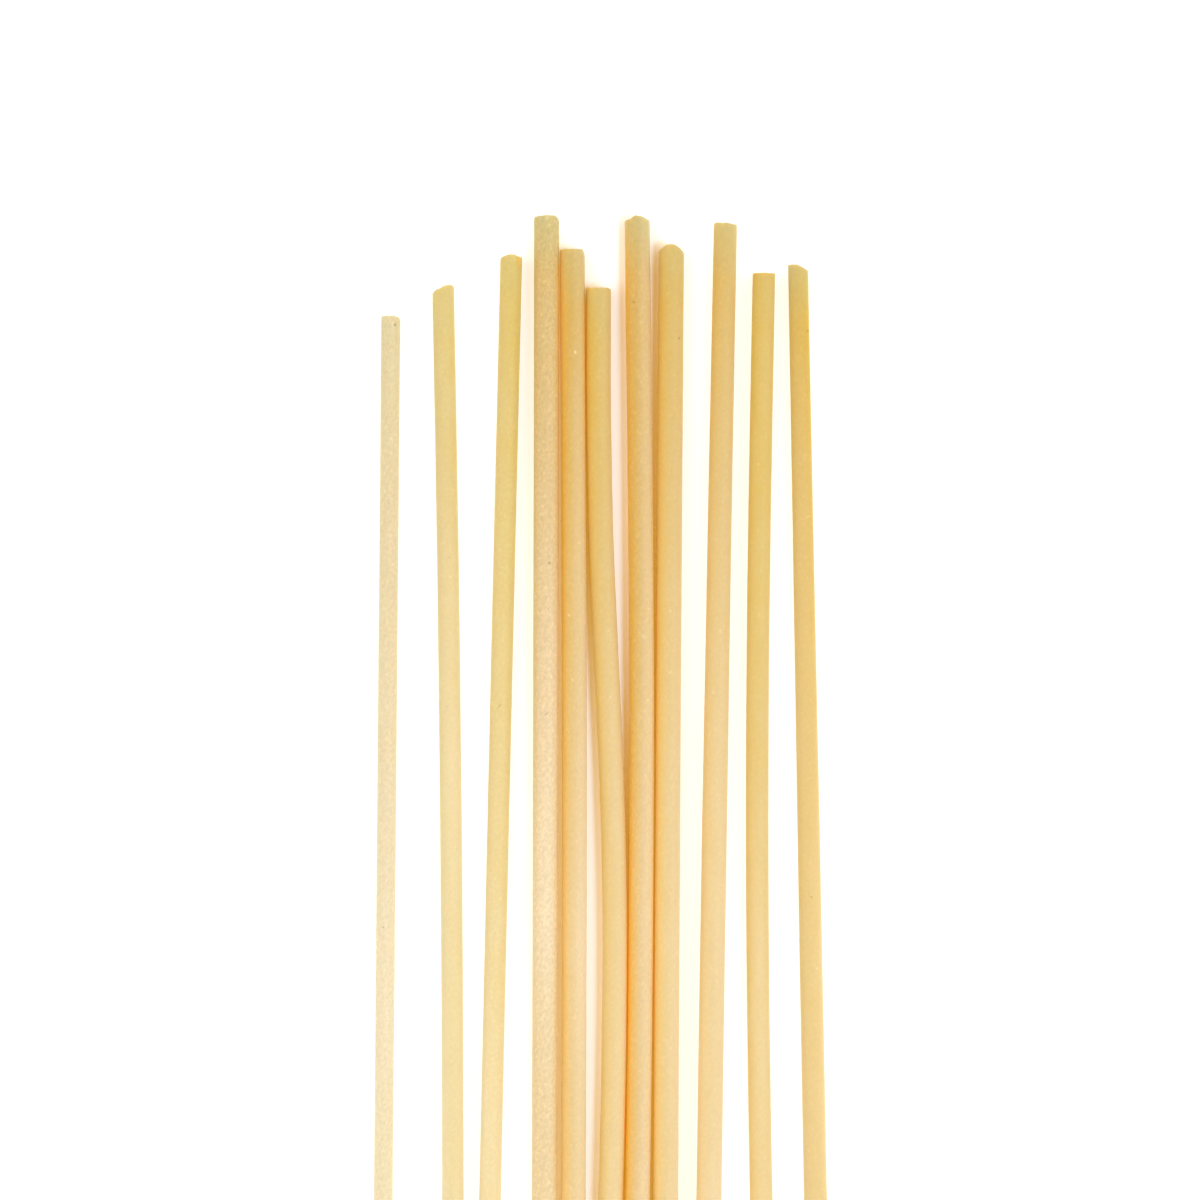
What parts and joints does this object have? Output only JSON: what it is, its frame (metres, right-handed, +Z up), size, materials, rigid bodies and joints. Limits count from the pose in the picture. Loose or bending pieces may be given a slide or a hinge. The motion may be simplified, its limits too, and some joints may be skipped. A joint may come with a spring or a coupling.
{
  "type": "dry bucatini bundle",
  "caption": "Loose bundle of dry bucatini: long pale-yellow pasta tubes with a narrow bore, lying side by side in one layer with staggered, roughly cut ends.",
  "frame": {"origin": "under the middle of the bundle, on the surface it lies on", "axes": "+Y along the strands towards the staggered ends that the picture shows, +X to the right as seen from above, +Z up from the surface"},
  "size_m": [0.0562, 0.2686, 0.0029],
  "materials": {
    "pasta": "satin, slightly translucent dry durum pasta with a fine sandy grain and small dark specks"
  },
  "bodies": {
    "root": {"strand_01": "pasta", "strand_02": "pasta", "strand_03": "pasta", "strand_04": "pasta", "strand_05": "pasta", "strand_06": "pasta", "strand_07": "pasta", "strand_08": "pasta", "strand_09": "pasta", "strand_10": "pasta", "strand_11": "pasta"}
  },
  "joints": []
}
